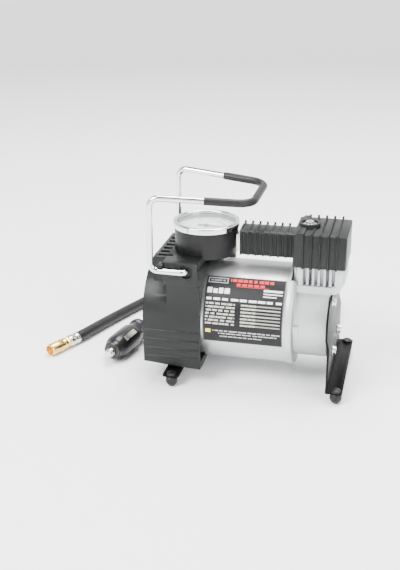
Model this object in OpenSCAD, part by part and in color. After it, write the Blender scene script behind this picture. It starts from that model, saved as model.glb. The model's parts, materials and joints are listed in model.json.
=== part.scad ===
// Portable tire inflator: a 12 volt motor with a geared crank drives a wobble piston in a
// finned cylinder, and the air goes through a covered pipe to a gauge and a short hose.
// Every piece is drawn about the motor's axis, which runs along X, and placed() then moves
// the whole so that the origin is the middle of the footprint on the surface it stands on.
// -Y is the side with the name label, -X the end with the switch, and +Z is up.

/* [Motor] */
// Outer diameter of the motor can
motor_d = 79; // [78:0.5:79.5]
// Sheet thickness of the motor can
can_wall = 1.5; // [1:0.1:1.8]
// Diameter of the motor shaft
shaft_d = 8; // [7:0.5:8]
// Number of slots in the armature
slot_count = 12; // [8:1:14]

/* [Gears] */
// Gear module
gear_module = 0.8; // [0.75:0.05:0.8]
// Teeth of the pinion on the motor shaft
pinion_teeth = 12; // [12:1:12]
// Teeth of the crank gear
gear_teeth = 28; // [28:1:28]
// Width of both gears
gear_width = 6; // [4:0.5:6]

/* [Compressor] */
// Radius from the crank gear's axis to the crank pin, which is half of the stroke
crank_r = 5; // [4:0.5:5]
// Diameter of the cylinder bore
bore_d = 23; // [20:0.5:23]
// Pitch of the cooling fins round the cylinder
fin_pitch = 4.3; // [4:0.1:5]
// Outer diameter of the crankcase barrel
crankcase_d = 64.8; // [64:0.2:65]

/* [Covers] */
// Wall thickness of the moulded covers
cover_wall = 1.8; // [1.4:0.1:2]
// Pitch of the ribs on the head cover
head_rib_pitch = 6.29; // [6:0.01:6.4]
// Pitch of the tall ribs on the arm cover
arm_rib_pitch = 5.8; // [5.6:0.1:5.8]

/* [Gauge] */
// Outer diameter of the gauge's chrome rim
gauge_d = 52; // [51:0.5:52]
// Angle of the needle at rest, from +X
needle_rest = -7; // [-20:1:0]

/* [Handle] */
// Diameter of the handle wire
wire_d = 4.8; // [4:0.1:4.8]
// Outer diameter of the handle's sleeve
grip_d = 6; // [5.8:0.1:6]

/* [Hose and lead] */
// Outer diameter of the air hose
hose_d = 9.3; // [8:0.1:9.3]
// Outer diameter of the 12 volt lead
lead_d = 6; // [5:0.5:6]
// Diameter of the plug's barrel
plug_d = 20.5; // [20:0.1:20.8]

/* [Hidden] */
$fn = 64;
eps = 0.01;
fit = 0.03;

// Height of the motor's axis above the surface, and the middle of the footprint along X
axis_h = 51.6;
middle_x = 31.03;

// Stations along the motor's axis
can_r = motor_d / 2;
can_neck = 0.8;
can_rear_x = -22;
can_step_x = 3.05;
can_front_x = 62;
can_in_r = can_r - can_neck - can_wall;
shaft_r = shaft_d / 2;
pinion_shaft_r = 2.5;
bush_r = 7;
core_x = [6, 44];
core_r = 31.6;
magnet_x = [2, 48];
commutator_x = [-14.5, -2.5];
commutator_r = 11.9;
bolt_z = can_in_r - 2.2;
bolt_r = 2;

// Gear train
gear_x = 73.5;
pinion_pitch_r = gear_module * pinion_teeth / 2;
gear_pitch_r = gear_module * gear_teeth / 2;
gear_z = -(pinion_pitch_r + gear_pitch_r);
axle_r = 2.4;
pin_r = 2;

// Crankcase, cylinder and head
flange_r = 40.3;
flange_x = [68.3, 73.9];
spigot_can_r = can_r - 1.3;
cavity_x = 70.5;
barrel_r = crankcase_d / 2;
cavity_r = 30;
crankcase_end = 99.5;
cover_seat = 97.5;
boss_at = [20.2, 20];
boss_r = 3.9;
cyl_x = 90.2;
bore_r = bore_d / 2;
spigot_r = bore_r + 1.5;
deck_z = 31;
cyl_top = 46.9;
plate_z = [cyl_top, 49.1];
gasket_z = [plate_z[1], 49.7];
head_z = [gasket_z[1], 61.5];
head_half = [17.2, 19.2];
head_bolt = [14.6, 16];
pipe_z = 57;
pipe_r = 3.5;
pipe_x = [27.7, 75];

// Piston and rod, drawn at the top of the stroke
piston_top = 45.4;
rod_x = [cyl_x - 4.5, cyl_x + 4.5];
big_end_z = gear_z + crank_r;
bearing_r = 6;
big_end_r = 8.2;

// Shroud
shroud_x = [70.2, 110.2];
shroud_y = 22.6;
shroud_z = [46.35, 72];
arm_x = [27.9, 71];
arm_y = 10.3;
arm_z = [49.3, 68.2];
head_rib_0 = 77.8;
arm_rib_0 = 28.6;
washer_at = [79.8, 0];

// Gauge
gauge_x = -0.75;
gauge_r = gauge_d / 2;
case_z = [46.5, 68.9];
dial_z = 65.7;
gauge_top = 72.3;
outlet_x = 8;
outlet_z = 53;
outlet_y = 52;

// Rear cap
cap_x = [-42.5, 3];
cap_r = 41;
cap_wall = 2.2;
cap_y = 40.5;
cap_in_r = can_r - can_neck + 0.15;
skirt_z = [-38.4, -6];
skirt_rise = 3.4;
saddle_x = -25.7;
saddle_y = 40.5;
saddle_z = 49.3;
grille_x = -36;
grille_y = 29;
switch_at = [-12, -14.8];
rocker_tilt = 10;
grommet_at = [-32, -26];

// Handle: the wire's corners on one side, from the pivot to the middle of the grip
pivot = [-7.46, 42.77];
wire_r = wire_d / 2;
pivot_r = wire_r + 0.05;
wire_side = 43.3;
grip_corner = [40.5, -29.5, 95.6];
handle_path = [
    [pivot[0], -39, pivot[1]],
    [pivot[0], -wire_side, pivot[1]],
    [-34.5, -wire_side, 43.2],
    [-33.6, -wire_side, 100.1],
    grip_corner
];
handle_bends = [0, 3.2, 6.5, 6.5, 14];
grip_start = 0.532;
grip_path = [handle_path[3] + grip_start * (grip_corner - handle_path[3]), grip_corner];
grip_bends = [0, 14];

// Brackets and feet
sheet_t = 1.6;
foot_r = 4.7;
foot_y = 45.35;
right_foot_x = 109.4;
left_foot_x = -18.9;
flange_top = -42;
plate_x = 99.6;
joggle = 1.7;

// Air hose: its end fittings and its route from the elbow to the ferrule
chuck_dir = 245.3;
hose_r = hose_d / 2;
hose_route = [
    [8, 52, 40], [8, 52, 28], [8, 52, 14], [8, 52, 0], [7.8, 52.5, -12],
    [7, 55.5, -24], [5, 62, -34.5], [2.5, 72, -42], [0, 83, -46], [-2.5, 95, -46.95],
    [-6, 107, -46.95], [-13, 119, -46.95], [-24, 129, -46.95], [-38, 134.5, -46.95],
    [-52, 134.5, -46.95], [-65, 129, -46.95], [-75, 119, -46.95], [-82, 107, -46.95],
    [-87.5, 94, -46.95], [-94, 78, -46.95], [-101, 60, -46.9], [-107.5, 42, -46.75],
    [-112.8, 26, -46.5], [-116.5, 15.5, -46.45], [-118.6, 10.5, -46.45]
];

// Lead: from the grommet to the coil, the coil, and from the coil to the plug
lead_r = lead_d / 2;
coil_at = [50, 106];
coil_r = [23.7, 43];
coil_h = 25.2;
supply_route = [
    [-32, 65.5, -26], [-32, 72, -26.4], [-31.2, 79, -27.6], [-28.5, 86.5, -29.4],
    [-23.5, 94, -31.2], [-17, 100.5, -32.6], [-9.5, 106, -33.4], [-2, 111.5, -33.3],
    [4.5, 117, -32.2], [10.2, 122.6, -30.7]
];
plug_route = [
    [33, 66.2, -48.5], [20, 66.2, -48.5], [7, 66.2, -48.5], [-6, 66.1, -48.5], [-20, 65.9, -48.5],
    [-34, 65.2, -48.5], [-46, 63, -48.5], [-55, 58.5, -47.9], [-61, 52.5, -45.6],
    [-64.3, 46.4, -42.6], [-65.87, 41.3, -41.35]
];
plug_rear = [-68, 30];
plug_dir = 259.3;
plug_r = plug_d / 2;

// ---------------------------------------------------------------- helpers
module placed() {
    translate([-middle_x, 0, axis_h]) children();
}

module both_sides() {
    children();
    mirror([0, 1, 0]) children();
}

module rod_x(x0, x1, r, y = 0, z = 0) {
    translate([x0, y, z]) rotate([0, 90, 0]) cylinder(h = x1 - x0, r = r);
}

module rod_y(y0, y1, r, x = 0, z = 0) {
    translate([x, y0, z]) rotate([-90, 0, 0]) cylinder(h = y1 - y0, r = r);
}

module ring_x(x0, x1, r_out, r_in) {
    difference() {
        rod_x(x0, x1, r_out);
        rod_x(x0 - 1, x1 + 1, r_in);
    }
}

module block(x, y, z) {
    translate([x[0], y[0], z[0]]) cube([x[1] - x[0], y[1] - y[0], z[1] - z[0]]);
}

// Turns a profile in (radius, x) round the X axis
module turned_x(points) {
    rotate([0, 90, 0]) rotate_extrude() polygon(points);
}

// Extrudes an outline in (y, z) along X
module along_x(x0, x1) {
    translate([x0, 0, 0]) rotate([90, 0, 90]) linear_extrude(x1 - x0) children();
}

// Extrudes an outline in (x, z) along Y
module along_y(y0, y1) {
    translate([0, y1, 0]) rotate([90, 0, 0]) linear_extrude(y1 - y0) children();
}

module rounded_square(x, y, r) {
    translate([x[0] + r, y[0]]) square([x[1] - x[0] - 2 * r, y[1] - y[0]]);
    translate([x[0], y[0] + r]) square([x[1] - x[0], y[1] - y[0] - 2 * r]);
    for (cx = [x[0] + r, x[1] - r], cy = [y[0] + r, y[1] - r])
        translate([cx, cy]) circle(r);
}

function unit(v) = v / norm(v);
function about(middle, half) = [middle - half, middle + half];
function arc(cx, cy, r, a0, a1, n) =
    [for (i = [0 : n]) let (a = a0 + (a1 - a0) * i / n) [cx + r * cos(a), cy + r * sin(a)]];

// Puts what points along +X onto a place on the surface and turns it to a heading
module heading(at, z, angle) {
    translate([at[0], at[1], z]) rotate([0, 0, angle]) children();
}

// A path with its corners rounded: each bend is an arc of its own radius
function bend_arc(p, i, radius) =
    (i == 0 || i == len(p) - 1) ? [p[i]] :
    let (
        u = unit(p[i] - p[i - 1]),
        v = unit(p[i + 1] - p[i]),
        turn = acos(u * v),
        inward = unit(v - u * (u * v)),
        centre = p[i] - u * radius * tan(turn / 2) + inward * radius,
        steps = 6
    )
    [for (k = [0 : steps]) centre + radius * (u * sin(turn * k / steps) - inward * cos(turn * k / steps))];
function rounded_path(p, radii) = [for (i = [0 : len(p) - 1]) for (q = bend_arc(p, i, radii[i])) q];

// A path on the -Y side, carried on to the +Y side, and its list of radii
function reversed(list) = [for (i = [len(list) - 1 : -1 : 0]) list[i]];
function both_ways(p) = concat(p, [for (q = reversed(p)) [q[0], -q[1], q[2]]]);
function lengthened(p, start, stop) = concat(
    [p[0] - start], [for (i = [1 : len(p) - 2]) p[i]], [p[len(p) - 1] + stop]
);
function there_and_back(list) = concat(list, reversed(list));

// A smooth tube through a route: rings square to the route, carried along without twist
function tangent(p, i) =
    unit(p[min(i + 1, len(p) - 1)] - p[max(i - 1, 0)]);
function carried(p, i, side) =
    let (t = tangent(p, i), s = unit(side - t * (side * t)))
    i == len(p) - 1 ? [s] : concat([s], carried(p, i + 1, s));
module swept_tube(p, r, sides, first_side, start_dir, end_dir) {
    last = len(p) - 1;
    side = carried(p, 0, first_side);
    points = [for (i = [0 : last], k = [0 : sides - 1])
        let (
            t = i == 0 ? start_dir : i == last ? end_dir : tangent(p, i),
            s = unit(side[i] - t * (side[i] * t)),
            w = cross(t, s)
        )
        p[i] + r * (s * cos(360 * k / sides) + w * sin(360 * k / sides))];
    walls = [for (i = [0 : last - 1], k = [0 : sides - 1])
        let (a = i * sides + k, b = i * sides + (k + 1) % sides)
        [a, a + sides, b + sides, b]];
    ends = [[for (k = [0 : sides - 1]) k], [for (k = [0 : sides - 1]) last * sides + sides - 1 - k]];
    polyhedron(points, concat(walls, ends));
}

// ---------------------------------------------------------------- gears
// Point of an involute at a radius, on the flank that starts at angle a0
function roll(r, base) = r <= base ? 0 : sqrt(r * r / (base * base) - 1) * 180 / PI - acos(base / r);
function flank(radii, base, half, side) =
    [for (r = radii) let (a = side * (half - roll(r, base))) [r * cos(a), r * sin(a)]];

module gear_outline(teeth, backlash) {
    pitch_r = gear_module * teeth / 2;
    base = pitch_r * cos(20);
    root = pitch_r - 1.2 * gear_module;
    tip = pitch_r + 0.9 * gear_module;
    half = 90 / teeth - backlash / pitch_r * 90 / PI + roll(pitch_r, base);
    radii = [root, max(base, root + 0.05), pitch_r, (pitch_r + tip) / 2, tip];
    up = flank(radii, base, half, -1);
    down = flank(radii, base, half, 1);
    polygon([for (n = [0 : teeth - 1]) let (a = 360 * n / teeth)
        for (p = concat(up, [for (i = [len(down) - 1 : -1 : 0]) down[i]]))
            [p[0] * cos(a) - p[1] * sin(a), p[0] * sin(a) + p[1] * cos(a)]]);
}

// ---------------------------------------------------------------- motor
module motor_can() color("silver") placed() difference() {
    union() {
        rod_x(can_rear_x, can_step_x, can_r - can_neck);
        rod_x(can_step_x, flange_x[0], can_r);
    }
    rod_x(can_rear_x - 1, can_front_x - can_wall, can_in_r);
    rod_x(can_front_x, flange_x[1], spigot_can_r + 0.05);
    rod_x(can_front_x - 3, can_front_x + 1, bush_r + fit);
    for (s = [-1, 1]) rod_x(can_front_x - 3, can_front_x + 1, bolt_r + 0.1, 0, s * bolt_z);
}

module name_label() color("black") placed()
    translate([4.8, 0, 0]) rotate([90, 0, 90]) rotate([0, 0, 121.25])
        rotate_extrude_band(can_r + 0.02, can_r + 0.3, 78.65, 61.9);

// A band bent round the Z axis
module rotate_extrude_band(r_in, r_out, angle, length) {
    rotate_extrude(angle = angle) translate([r_in, 0]) square([r_out - r_in, length]);
}

module rear_plate() color("dimgray") placed() difference() {
    union() {
        rod_x(-24, can_rear_x, can_r - can_neck);
        rod_x(can_rear_x - eps, -19, can_in_r - 0.05);
        rod_x(-28, -23, 10);
    }
    rod_x(-29, -18, bush_r + fit);
    for (s = [-1, 1]) {
        rod_x(-25, -18, bolt_r + 0.1, 0, s * bolt_z);
        rod_x(-25, -18, 1.7, s * 10, -24);
        rod_x(-25, -18, 1.6, s * 27, 15);
    }
}

module field_magnets() color([0.2, 0.2, 0.22]) placed()
    for (side = [0, 180])
        translate([magnet_x[0], 0, 0]) rotate([90, 0, 90]) rotate([0, 0, side - 60])
            rotate_extrude_band(core_r + 0.8, can_in_r - 0.05, 120, magnet_x[1] - magnet_x[0]);

module through_bolts() color("silver") placed()
    for (s = [-1, 1]) {
        rod_x(-24, 68, bolt_r, 0, s * bolt_z);
        rod_x(-26.4, -24, 3.4, 0, s * bolt_z);
    }

module shaft_bushes() color("goldenrod") placed() {
    ring_x(-27.5, -19.5, bush_r, shaft_r + fit);
    ring_x(56, 66, bush_r, shaft_r + fit);
}

module brush_holders() color("goldenrod") placed()
    both_sides() difference() {
        block([-19, -4.5], [-25, -13.4], [-5, 5]);
        block([-14.2, -5.8], [-26, -12], [-4.1, 4.1]);
    }

module carbon_brushes() color([0.15, 0.15, 0.15]) placed()
    both_sides() block([-14, -6], [-21, -12.05], [-4, 4]);

module motor_shaft() color("silver") placed() {
    rod_x(-27, 72, shaft_r);
    rod_x(72 - eps, 80, pinion_shaft_r);
}

module armature_core() color([0.35, 0.35, 0.38]) placed()
    along_x(core_x[0], core_x[1]) difference() {
        circle(core_r);
        circle(shaft_r + eps);
        for (n = [0 : slot_count - 1]) rotate(360 * n / slot_count) {
            translate([25.5, 0]) circle(3.2);
            translate([25.5, -1]) square([8, 2]);
        }
    }

module armature_windings() color([0.72, 0.38, 0.15]) placed() {
    for (x = [[-1, core_x[0] - 0.1], [core_x[1] + 0.1, 51]])
        turned_x([[8, x[0]], [24, x[0]], [28.6, x[0] + 2.5], [28.6, x[1]], [8, x[1]]]);
    for (n = [0 : slot_count - 1]) rotate([360 * n / slot_count, 0, 0])
        rod_x(core_x[0] - 1, core_x[1] + 1, 3, 25.5, 0);
}

module commutator() color([0.75, 0.42, 0.2]) placed() difference() {
    ring_x(commutator_x[0], commutator_x[1], commutator_r, shaft_r + eps);
    for (n = [0 : slot_count - 1]) rotate([360 * n / slot_count, 0, 0])
        block([commutator_x[0] - 1, commutator_x[1] + 1], [-0.3, 0.3], [commutator_r - 0.8, commutator_r + 1]);
}

module drive_pinion() color("silver") placed()
    along_x(gear_x, gear_x + gear_width) difference() {
        rotate(90) gear_outline(pinion_teeth, 0.12);
        circle(pinion_shaft_r + eps);
    }

// ---------------------------------------------------------------- crankcase
module crankcase() color([0.75, 0.76, 0.77]) placed() difference() {
    union() {
        turned_x(concat(
            [[0, can_front_x], [spigot_can_r, can_front_x], [spigot_can_r, flange_x[0]],
             [flange_r, flange_x[0]]],
            [for (p = arc(flange_r - 2.5, flange_x[1] - 2.5, 2.5, 0, 90, 8)) p],
            [[barrel_r, flange_x[1]], [barrel_r, crankcase_end - 0.8],
             [barrel_r - 0.8, crankcase_end], [0, crankcase_end]]
        ));
        block([71, 100], [-20, 20], [0, deck_z]);
        translate([0, 0, 24.5]) linear_extrude(deck_z - 24.5) deck_outline();
        block([flange_x[1] - 1, flange_x[1] + 3.6], [-35, -30], [-3, 3]);
    }
    difference() {
        rod_x(cavity_x, cover_seat + eps, cavity_r);
        bracket_bosses(84, cover_seat + 1, boss_r);
    }
    bracket_bosses(85, cover_seat + 1, 1.72);
    rod_x(cover_seat, crankcase_end + 1, 31.1);
    block([cover_seat, 108], [-21, 21], [-1, 24.4]);
    rod_x(can_front_x - 1, 66.1, bush_r + fit);
    rod_x(66, 71, 6.2);
    for (s = [-1, 1]) rod_x(can_front_x - 1, 68.5, bolt_r + 0.02, 0, s * bolt_z);
    rod_x(64, 72, axle_r + eps, 0, gear_z);
    block([flange_x[0] + 1.2, crankcase_end + 1], [-20.6, 20.6], [deck_z, deck_z + 12]);
    block(rod_x + [-0.8, 0.8], [-8.5, 8.5], [20, deck_z + 1]);
    translate([cyl_x, 0, 27]) cylinder(h = 5, r = spigot_r + 0.05);
}

// The four places where the bracket is screwed to the crankcase
module bracket_bosses(x0, x1, r) {
    for (sy = [-1, 1], sz = [-1, 1]) rod_x(x0, x1, r, sy * boss_at[0], sz * boss_at[1]);
}

module deck_outline() {
    square_x = [71, 94];
    translate([square_x[0], -20]) square([square_x[1] - square_x[0], 40]);
    translate([square_x[1] - 1, -10]) square([13, 20]);
    for (s = [-1, 1]) translate([square_x[1], s * 8]) intersection() {
        circle(12);
        translate([0, -12]) square([12, 24]);
    }
}

// Disc that closes the crankcase behind the bracket
module crankcase_cover() color([0.7, 0.71, 0.72]) placed() difference() {
    rod_x(cover_seat, crankcase_end - 0.05, 31);
    block([80, 110], [-21, 21], [24, 34]);
    bracket_bosses(83, 101, 1.72);
}

module crank_axle() color("silver") placed() {
    rod_x(64, gear_x + gear_width - 0.2, axle_r, 0, gear_z);
    rod_x(gear_x - 2, gear_x - 0.3, 4, 0, gear_z);
}

module crank_gear() color([0.55, 0.56, 0.58]) placed() difference() {
    translate([0, 0, gear_z]) along_x(gear_x, gear_x + gear_width)
        rotate(90 - 180 / gear_teeth) gear_outline(gear_teeth, 0.12);
    rod_x(gear_x - 1, gear_x + gear_width + 1, axle_r + fit, 0, gear_z);
    rod_x(gear_x - 1, gear_x + gear_width + 1, pin_r + eps, 0, big_end_z);
}

module crank_pin() color("silver") placed()
    rod_x(gear_x, rod_x[0] - 0.3, pin_r, 0, big_end_z);

module connecting_rod() color([0.6, 0.6, 0.62]) placed() difference() {
    union() {
        rod_x(rod_x[0], rod_x[1], big_end_r, 0, big_end_z);
        block([cyl_x - 2.5, cyl_x + 2.5], [-5, 5], [big_end_z + 6.5, piston_top - 3]);
        block(rod_x, [-1.5, 1.5], [big_end_z + 7, piston_top - 3]);
        translate([cyl_x, 0, piston_top - 5.5]) cylinder(h = 3.5, r = bore_r - 0.5);
    }
    rod_x(rod_x[0] - 1, rod_x[1] + 1, bearing_r + eps, 0, big_end_z);
    translate([cyl_x, 0, piston_top - 12]) cylinder(h = 12, r = 1.52);
}

module big_end_bearing() color([0.8, 0.8, 0.82]) placed()
    translate([0, 0, big_end_z]) ring_x(rod_x[0] + 1, rod_x[1] - 1, bearing_r, pin_r + 0.1);

module cup_seal() color("white") placed()
    translate([cyl_x, 0, 0]) rotate_extrude() polygon([
        [1.6, piston_top - 2], [bore_r - 0.05, piston_top - 2], [bore_r - 0.05, piston_top],
        [bore_r - 1, piston_top], [bore_r - 1.4, piston_top - 1.2], [1.6, piston_top - 1.2]
    ]);

module piston_screw() color("silver") placed() translate([cyl_x, 0, 0]) {
    translate([0, 0, piston_top - 11]) cylinder(h = 9.8, r = 1.5);
    translate([0, 0, piston_top - 1.2]) cylinder(h = 1.2, r = 6);
}

// ---------------------------------------------------------------- cylinder and head
module head_columns(z, r) {
    for (sx = [-1, 1], sy = [-1, 1])
        translate([cyl_x + sx * head_bolt[0], sy * head_bolt[1], z[0]]) cylinder(h = z[1] - z[0], r = r);
}

module finned_cylinder() color([0.8, 0.81, 0.82]) placed() difference() {
    union() {
        translate([cyl_x, 0, 27.1]) cylinder(h = 4, r = spigot_r);
        translate([cyl_x, 0, deck_z]) cylinder(h = cyl_top - deck_z, r = bore_r + 3);
        head_columns([deck_z, cyl_top], 3.4);
        for (i = [-3 : 3]) fin_pair(i);
        translate([0, 0, cyl_top - 1.5]) linear_extrude(1.5)
            rounded_square([cyl_x - head_half[0], cyl_x + head_half[0]], [-head_half[1], head_half[1]], 3);
    }
    translate([cyl_x, 0, 26]) cylinder(h = 30, r = bore_r);
    head_columns([deck_z + 4, cyl_top + 1], 2.1);
}

// The fins on the front and back, and on the two ends, as upright bars with round edges
module fin_pair(i) {
    half = 1.15;
    for (s = [-1, 1]) {
        translate([cyl_x + i * fin_pitch, s * 18.4, deck_z + 0.6]) cylinder(h = 14.5, r = half);
        block([cyl_x + i * fin_pitch - half, cyl_x + i * fin_pitch + half],
            s > 0 ? [8, 18.4] : [-18.4, -8], [deck_z + 0.6, deck_z + 15.1]);
        translate([cyl_x + s * 18.2, i * fin_pitch, deck_z + 0.6]) cylinder(h = 14.5, r = half);
        block(s > 0 ? [cyl_x + 8, cyl_x + 18.2] : [cyl_x - 18.2, cyl_x - 8],
            [i * fin_pitch - half, i * fin_pitch + half], [deck_z + 0.6, deck_z + 15.1]);
    }
}

module head_slab(z) {
    translate([0, 0, z[0]]) linear_extrude(z[1] - z[0])
        rounded_square([cyl_x - head_half[0], cyl_x + head_half[0]], [-head_half[1], head_half[1]], 3);
}

module valve_plate() color([0.62, 0.63, 0.66]) placed() difference() {
    head_slab(plate_z);
    for (s = [-1, 1]) translate([cyl_x + s * 5, 0, plate_z[0] - 1]) cylinder(h = 5, r = 2.2);
    head_columns([plate_z[0] - 1, plate_z[1] + 1], 2.1);
}

// Thin spring flaps: the inlet opens below the plate and the outlet above it
module reed_valves() color([0.75, 0.77, 0.8]) placed() {
    block([cyl_x - 8.5, cyl_x - 1.5], [-3, 7], [plate_z[0] - 0.25, plate_z[0]]);
    block([cyl_x + 1.5, cyl_x + 8.5], [-7, 3], [plate_z[1], plate_z[1] + 0.25]);
}

module head_gasket() color([0.25, 0.27, 0.3]) placed() difference() {
    head_slab(gasket_z);
    for (s = [-1, 1]) chamber(s, gasket_z + [-1, 1]);
    head_columns(gasket_z + [-1, 1], 2.1);
}

module chamber(s, z) {
    block(s < 0 ? [cyl_x - 10.5, cyl_x - 0.9] : [cyl_x + 0.9, cyl_x + 10.5], [-8, 8], z);
}

module cylinder_head() color([0.72, 0.73, 0.74]) placed() difference() {
    union() {
        head_slab(head_z);
        translate([washer_at[0], 0, head_z[1] - 1]) cylinder(h = 6, r = 4);
    }
    for (s = [-1, 1]) chamber(s, [head_z[0] - 1, head_z[0] + 8]);
    rod_x(cyl_x - head_half[0] - 1, 75.6, pipe_r + eps, 0, pipe_z);
    rod_x(75, cyl_x + 3, 2.2, 0, pipe_z);
    head_columns([head_z[0] - 1, head_z[1] + 1], 2.1);
    translate([washer_at[0], 0, 60]) cylinder(h = 8, r = 1.52);
}

module head_screws() color("silver") placed() {
    head_columns([deck_z + 5, head_z[1]], 2);
    head_columns([head_z[1], head_z[1] + 3], 3.2);
}

// ---------------------------------------------------------------- shroud
module shroud() color([0.16, 0.17, 0.16]) placed() difference() {
    union() {
        head_cover();
        arm_cover();
        washer_boss();
    }
    translate([0, 0, shroud_z[0] - 1]) linear_extrude(shroud_z[1] - 2.2 - shroud_z[0])
        rounded_square(
            [shroud_x[0] + cover_wall, shroud_x[1] - cover_wall],
            [-shroud_y + cover_wall, shroud_y - cover_wall], 1.5
        );
    block([arm_x[0] - 1, shroud_x[0] + 3], [-arm_y + cover_wall, arm_y - cover_wall], [arm_z[0] - 1, arm_z[1] - 2.6]);
    translate([washer_at[0], 0, 60]) cylinder(h = 20, r = 1.9);
    translate([washer_at[0], 0, shroud_z[1] + 1.6]) cylinder(h = 5, r = 6.2);
}

// The box over the head, with five ribs that run up the sides and across the roof
module head_cover() {
    translate([0, 0, shroud_z[0]]) linear_extrude(shroud_z[1] - shroud_z[0])
        rounded_square(shroud_x, [-shroud_y, shroud_y], 2.2);
    for (i = [0 : 4]) {
        x = head_rib_0 + i * head_rib_pitch;
        block([x - 0.8, x + 0.8], [-shroud_y - 0.6, shroud_y + 0.6], [shroud_z[0] - 0.5, shroud_z[1] + 0.7]);
        both_sides() rod_z_rib(x, -shroud_y - 0.6, [shroud_z[0] - 0.5, shroud_z[1] + 0.7]);
        rod_y(-shroud_y - 0.6, shroud_y + 0.6, 0.8, x, shroud_z[1] + 0.7);
        block([x - 0.8, x + 0.8], [shroud_y - 1.4, shroud_y + 0.6], [shroud_z[1], shroud_z[1] + 2.2]);
    }
    along_y(-shroud_y, shroud_y) polygon([
        [shroud_x[0] + 0.5, shroud_z[1] - 1], [shroud_x[0] + 3.4, shroud_z[1] + 1.4],
        [head_rib_0 - 0.4, shroud_z[1] + 1.4], [head_rib_0, shroud_z[1] - 1]
    ]);
}

module rod_z_rib(x, y, z) {
    translate([x, y, z[0]]) cylinder(h = z[1] - z[0], r = 0.8);
}

// The arm that covers the pipe, with seven tall ribs and two fine ones between each pair
module arm_cover() {
    crown = 1.2;
    along_x(arm_x[0], arm_x[1]) arm_outline(0, crown);
    for (i = [0 : 6]) {
        x = arm_rib_0 + i * arm_rib_pitch;
        along_x(x - 0.75, x + 0.75) arm_outline(0.65, crown + 0.7);
        block([x - 0.75, x + 0.75], [arm_y - 1.2, arm_y + 0.6], [arm_z[1] - 2, arm_z[1] + 1.9]);
        for (k = [1, 2]) both_sides()
            rod_z_rib(x + k * arm_rib_pitch / 3, -arm_y + 0.35, [arm_z[0], arm_z[1] - 1.8]);
    }
}

// Section of the arm: straight sides and a gently crowned roof
module arm_outline(grow, crown) {
    w = arm_y + grow;
    polygon(concat(
        [[-w, arm_z[0] - grow * 0.6], [w, arm_z[0] - grow * 0.6], [w, arm_z[1] - 1.6 + grow]],
        [for (a = [80 : -20 : -80]) [w * 0.94 * sin(a) / sin(80), arm_z[1] + grow + crown * (cos(a) - 0.6)]],
        [[-w, arm_z[1] - 1.6 + grow]]
    ));
}

module washer_boss() {
    translate([washer_at[0], 0, shroud_z[1] - 1]) cylinder(h = 4.4, r = 8.2);
}

module shroud_washer() color([0.8, 0.8, 0.8]) placed()
    translate([washer_at[0], 0, shroud_z[1] + 1.6]) difference() {
        cylinder(h = 0.8, r = 5.4);
        translate([0, 0, -1]) cylinder(h = 3, r = 1.7);
    }

module shroud_screw() color([0.85, 0.85, 0.85]) placed() translate([washer_at[0], 0, 0]) difference() {
    union() {
        translate([0, 0, 60.4]) cylinder(h = shroud_z[1] + 2.4 - 60.4, r = 1.5);
        translate([0, 0, shroud_z[1] + 2.4]) cylinder(h = 1.8, r = 3.1);
    }
    for (a = [0, 90]) rotate(a) translate([-1.7, -0.35, shroud_z[1] + 3.3]) cube([3.4, 0.7, 2]);
}

module air_pipe() color([0.78, 0.72, 0.5]) placed()
    translate([0, 0, pipe_z]) ring_x(pipe_x[0], pipe_x[1], pipe_r, 2.2);

// ---------------------------------------------------------------- gauge
module gauge_fitting() color([0.82, 0.82, 0.78]) placed() difference() {
    union() {
        block([24.7, 27.6], [-7.2, 7.2], [51, 64]);
        rod_x(18, 25, 4, 0, pipe_z);
        both_sides() rod_x(24.7, 28.2, 1.7, -4.6, 52.9);
    }
    rod_x(17, 29, 2.2, 0, pipe_z);
}

module gauge_case() color([0.13, 0.13, 0.14]) placed() difference() {
    translate([gauge_x, 0, 0]) rotate_extrude() polygon([
        [0, case_z[0]], [23.6, case_z[0]], [24.2, case_z[0] + 0.6], [25.1, case_z[1]],
        [23.3, case_z[1]], [23.1, dial_z], [21.9, dial_z], [21.9, case_z[0] + 2.2], [0, case_z[0] + 2.2]
    ]);
    rod_x(18, 28, 4.05, 0, pipe_z);
    rod_y(15, 30, 4.05, outlet_x, outlet_z);
}

module gauge_bezel() color([0.88, 0.88, 0.9]) placed()
    translate([gauge_x, 0, 0]) rotate_extrude() polygon([
        [25.3, 67.6], [gauge_r, 67.6], [gauge_r, gauge_top - 1], [gauge_r - 0.9, gauge_top],
        [23.4, gauge_top], [22.6, gauge_top - 0.7], [22.6, 70.55], [25.3, 70.55]
    ]);

module gauge_lens() color([0.85, 0.92, 0.95, 0.35]) placed()
    translate([gauge_x, 0, case_z[1]]) cylinder(h = 1.6, r = 25.2);

module gauge_dial() color([0.9, 0.91, 0.9]) placed()
    translate([gauge_x, 0, dial_z]) difference() {
        cylinder(h = 0.6, r = 22.9);
        translate([0, 0, -1]) cylinder(h = 3, r = 1.3);
    }

module gauge_needle() color([0.75, 0.35, 0.1]) placed()
    translate([gauge_x, 0, 0]) rotate([0, 0, needle_rest]) {
        translate([0, 0, 63]) cylinder(h = 4.4, r = 0.7);
        translate([0, 0, 67]) cylinder(h = 0.9, r = 2.2);
        translate([0, 0, 67.1]) linear_extrude(0.5)
            polygon([[-7, -1.1], [0, -0.9], [18, -0.4], [19.5, 0], [18, 0.4], [0, 0.9], [-7, 1.1]]);
    }

module gauge_movement() color("goldenrod") placed() difference() {
    translate([gauge_x, 0, 0]) {
        for (z = [59.5, 63.4]) translate([0, 0, z]) cylinder(h = 1.2, r = 8);
        for (a = [30, 150, 270]) rotate(a) translate([6.5, 0, 60]) cylinder(h = 4, r = 1);
        translate([4, -3, 48.7]) cube([3, 6, 11]);
    }
    translate([gauge_x, 0, 62.9]) cylinder(h = 3, r = 0.75);
}

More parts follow.
